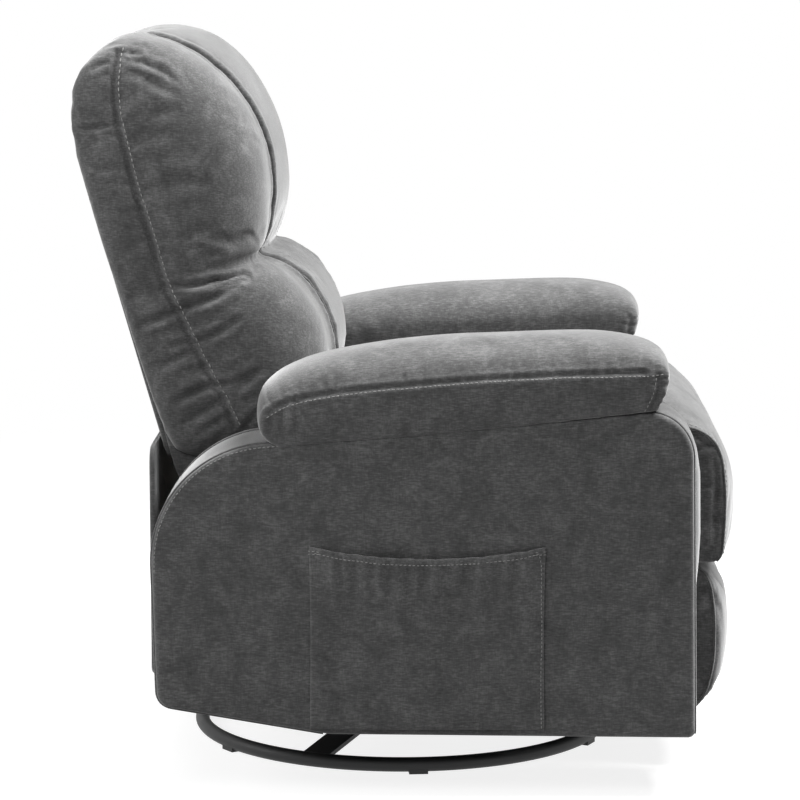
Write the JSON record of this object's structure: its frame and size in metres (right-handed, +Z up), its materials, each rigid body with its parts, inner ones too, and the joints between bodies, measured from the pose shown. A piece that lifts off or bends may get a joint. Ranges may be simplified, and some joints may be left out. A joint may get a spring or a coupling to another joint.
{
  "type": "swivel recliner",
  "caption": "Overstuffed manual recliner armchair on a round tube swivel base, with rocking seat box, reclining padded back, fold-out footrest and a side pocket.",
  "frame": {"origin": "the floor point under the swivel axis", "axes": "+Z up, the chair faces -Y, +X is the sitter's left"},
  "size_m": [0.8383, 0.9186, 1.0064],
  "materials": {
    "suede_fabric": "matte",
    "black_steel": "satin",
    "zinc_steel": "satin",
    "plywood": "matte",
    "nylon": "matte",
    "webbing": "matte"
  },
  "bodies": {
    "base": {"base_ring": "black_steel", "base_glides": "nylon", "base_cross": "black_steel", "swivel_lower_plate": "black_steel", "hub_bolts": "zinc_steel"},
    "swivel": {"swivel_upper_plate": "black_steel", "swivel_balls": "zinc_steel", "swivel_bolts": "zinc_steel", "rocker_cradle": "black_steel", "rocker_shaft": "zinc_steel", "shaft_clips": "zinc_steel"},
    "chassis": {"rocker_frame": "black_steel", "rocker_bushes": "nylon", "cross_tubes": "black_steel", "arm_bolts": "zinc_steel", "rocker_springs": "zinc_steel", "arm_outer_panel_right": "suede_fabric", "arm_inner_panel_right": "suede_fabric", "arm_border_right": "suede_fabric", "arm_frame_right": "plywood", "arm_pad_right": "suede_fabric", "arm_outer_panel_left": "suede_fabric", "arm_inner_panel_left": "suede_fabric", "arm_border_left": "suede_fabric", "arm_frame_left": "plywood", "arm_pad_left": "suede_fabric", "side_pocket": "suede_fabric", "rear_stretcher": "plywood", "back_skirt": "suede_fabric", "swing_lower_pins": "zinc_steel"},
    "rear_links": {"swing_links_rear": "zinc_steel"},
    "front_links": {"swing_links_front": "zinc_steel"},
    "seat": {"seat_hangers": "zinc_steel", "swing_upper_pins": "zinc_steel", "seat_frame": "plywood", "seat_springs": "zinc_steel", "spring_clips": "nylon", "footrest_side_plates": "zinc_steel", "hinge_plates": "zinc_steel", "seat_pivot_pins": "zinc_steel", "seat_cushion": "suede_fabric", "release_guide": "nylon"},
    "footrest_drive": {"footrest_drive_tube": "black_steel", "footrest_main_links": "zinc_steel"},
    "footrest_idlers": {"footrest_idler_links": "zinc_steel"},
    "footrest_lower": {"footrest_lower_bars": "zinc_steel"},
    "footrest_upper": {"footrest_upper_bars": "zinc_steel"},
    "footrest": {"footrest_brackets": "zinc_steel", "footrest_board": "plywood", "footrest_pad": "suede_fabric"},
    "back": {"back_frame": "plywood", "back_webbing": "webbing", "back_brackets": "zinc_steel", "back_outer_panel": "suede_fabric", "back_side_bands": "suede_fabric", "lumbar_cushion": "suede_fabric", "head_cushion": "suede_fabric"},
    "release": {"release_strap": "webbing"}
  },
  "joints": [
    {"name": "swivel", "type": "hinge", "parent": "base", "child": "swivel", "pos_m": [0, 0, 0.047], "axis": [0, 0, 1], "continuous": true},
    {"name": "rock", "type": "hinge", "parent": "swivel", "child": "chassis", "pos_m": [0, 0, 0.108], "axis": [-1, 0, 0], "range_deg": [-5, 10], "stiffness_Nm_per_rad": 900, "deforming": ["rocker_springs"]},
    {"name": "recline", "type": "hinge", "parent": "chassis", "child": "rear_links", "pos_m": [0, 0.13, 0.165], "axis": [1, 0, 0], "range_deg": [0, 46]},
    {"name": "front_swing", "type": "hinge", "parent": "chassis", "child": "front_links", "pos_m": [0, -0.12, 0.165], "axis": [1, 0, 0], "range_deg": [0, 46]},
    {"name": "seat_level", "type": "hinge", "parent": "rear_links", "child": "seat", "pos_m": [0, 0.17884, 0.28006], "axis": [1, 0, 0], "range_deg": [-46, 0]},
    {"name": "back_tilt", "type": "hinge", "parent": "seat", "child": "back", "pos_m": [0, 0.247, 0.415], "axis": [-1, 0, 0], "range_deg": [0, 40]},
    {"name": "footrest_open", "type": "hinge", "parent": "seat", "child": "footrest_drive", "pos_m": [0, -0.20982, 0.29817], "axis": [-1, 0, 0], "range_deg": [0, 90]},
    {"name": "footrest_idler", "type": "hinge", "parent": "seat", "child": "footrest_idlers", "pos_m": [0, -0.26328, 0.32541], "axis": [-1, 0, 0], "range_deg": [0, 90]},
    {"name": "footrest_lower", "type": "hinge", "parent": "footrest_drive", "child": "footrest_lower", "pos_m": [0, -0.13116, 0.08204], "axis": [-1, 0, 0], "range_deg": [-90, 0]},
    {"name": "footrest_upper", "type": "hinge", "parent": "footrest_drive", "child": "footrest_upper", "pos_m": [0, -0.14826, 0.12903], "axis": [-1, 0, 0], "range_deg": [-90, 0]},
    {"name": "footrest_tilt", "type": "hinge", "parent": "footrest_lower", "child": "footrest", "pos_m": [0, -0.345, 0.191], "axis": [-1, 0, 0], "range_deg": [0, 90]},
    {"name": "release_pull", "type": "slide", "parent": "seat", "child": "release", "axis": [0, 0, 1], "range_m": [0, 0.02], "stiffness_N_per_m": 200}
  ],
  "couplings": [
    {"joint": "front_swing", "follows": "recline", "ratio": 1},
    {"joint": "seat_level", "follows": "recline", "ratio": -1},
    {"joint": "back_tilt", "follows": "recline", "ratio": 0.86957},
    {"joint": "footrest_idler", "follows": "footrest_open", "ratio": 1},
    {"joint": "footrest_lower", "follows": "footrest_open", "ratio": -1},
    {"joint": "footrest_upper", "follows": "footrest_open", "ratio": -1},
    {"joint": "footrest_tilt", "follows": "footrest_open", "ratio": 1}
  ]
}
